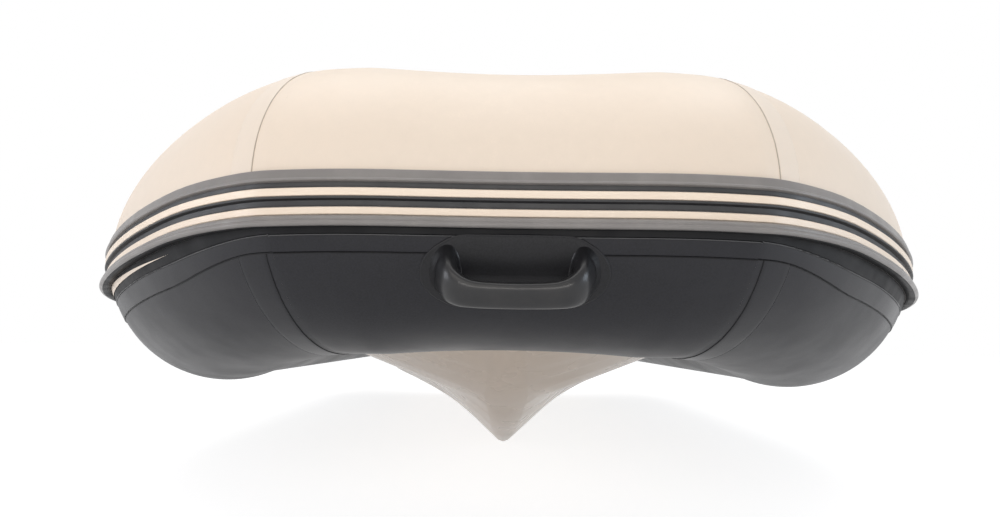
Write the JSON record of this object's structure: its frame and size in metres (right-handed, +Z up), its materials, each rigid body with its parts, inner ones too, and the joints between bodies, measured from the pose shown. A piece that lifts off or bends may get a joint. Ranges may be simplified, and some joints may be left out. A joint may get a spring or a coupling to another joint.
{
  "type": "rigid inflatable boat",
  "caption": "Rigid-hulled inflatable tender with beige over black tubes, a ribbed rubbing strake, glossy V hull, transom, thwart seat and hinged bow locker.",
  "frame": {"origin": "on the centreline, midway between bow and stern cone tips, in the plane of the water at rest", "axes": "+X to port, +Y aft, +Z up"},
  "size_m": [1.7648, 3.4223, 0.6963],
  "materials": {
    "fabric_beige": "satin coated fabric",
    "fabric_black": "satin coated fabric",
    "strake_rubber": "moulded rubber, worn satin",
    "stripe_upper": "smooth rubber",
    "stripe_lower": "smooth rubber",
    "hull_gelcoat": "glossy gelcoat",
    "transom_gelcoat": "glossy gelcoat",
    "locker_gelcoat": "glossy gelcoat",
    "floor_nonskid": "non-skid moulded panel",
    "clamp_plate": "matt moulded",
    "seat_board": "satin gelcoat",
    "holder_rubber": "matt moulded rubber",
    "stainless_steel": "polished",
    "patch_rubber": "matt coated fabric",
    "handle_rubber": "satin moulded rubber",
    "valve_plastic": "satin moulded",
    "rowlock_rubber": "matt moulded rubber"
  },
  "bodies": {
    "boat": {"air_valve_bow": "valve_plastic", "air_valve_port": "valve_plastic", "air_valve_starboard": "valve_plastic", "bow_handle": "handle_rubber", "bow_handle_patch": "patch_rubber", "bow_locker": "locker_gelcoat", "cockpit_floor": "floor_nonskid", "drain_flange": "valve_plastic", "hull": "hull_gelcoat", "lifting_eye_port": "stainless_steel", "lifting_eye_starboard": "stainless_steel", "locker_hinge_leaves": "stainless_steel", "motor_pad_inner": "clamp_plate", "motor_pad_outer": "clamp_plate", "rowlock_port": "rowlock_rubber", "rowlock_starboard": "rowlock_rubber", "rubbing_strake_bow": "strake_rubber", "rubbing_strake_port": "strake_rubber", "rubbing_strake_shoulder_port": "strake_rubber", "rubbing_strake_shoulder_starboard": "strake_rubber", "rubbing_strake_starboard": "strake_rubber", "seat_holder_port": "holder_rubber", "seat_holder_starboard": "holder_rubber", "side_handle_patch_port": "patch_rubber", "side_handle_patch_starboard": "patch_rubber", "side_handle_port": "handle_rubber", "side_handle_starboard": "handle_rubber", "stern_cone_port": "fabric_beige", "stern_cone_starboard": "fabric_beige", "strake_stripe_bow_lower": "stripe_lower", "strake_stripe_bow_upper": "stripe_upper", "strake_stripe_port_lower": "stripe_lower", "strake_stripe_port_upper": "stripe_upper", "strake_stripe_starboard_lower": "stripe_lower", "strake_stripe_starboard_upper": "stripe_upper", "thwart_seat": "seat_board", "transom": "transom_gelcoat", "tube_bow_lower": "fabric_black", "tube_bow_upper": "fabric_beige", "tube_port_aft_lower": "fabric_black", "tube_port_aft_upper": "fabric_beige", "tube_port_forward_lower": "fabric_black", "tube_port_forward_upper": "fabric_beige", "tube_starboard_aft_lower": "fabric_black", "tube_starboard_aft_upper": "fabric_beige", "tube_starboard_forward_lower": "fabric_black", "tube_starboard_forward_upper": "fabric_beige"},
    "locker_lid": {"bow_locker_lid": "locker_gelcoat", "lid_hinge_leaves": "stainless_steel"}
  },
  "joints": [
    {"name": "locker_lid_hinge", "type": "hinge", "parent": "boat", "child": "locker_lid", "pos_m": [0, -1.259, 0.346], "axis": [1, 0, 0], "range_deg": [0, 100]}
  ]
}
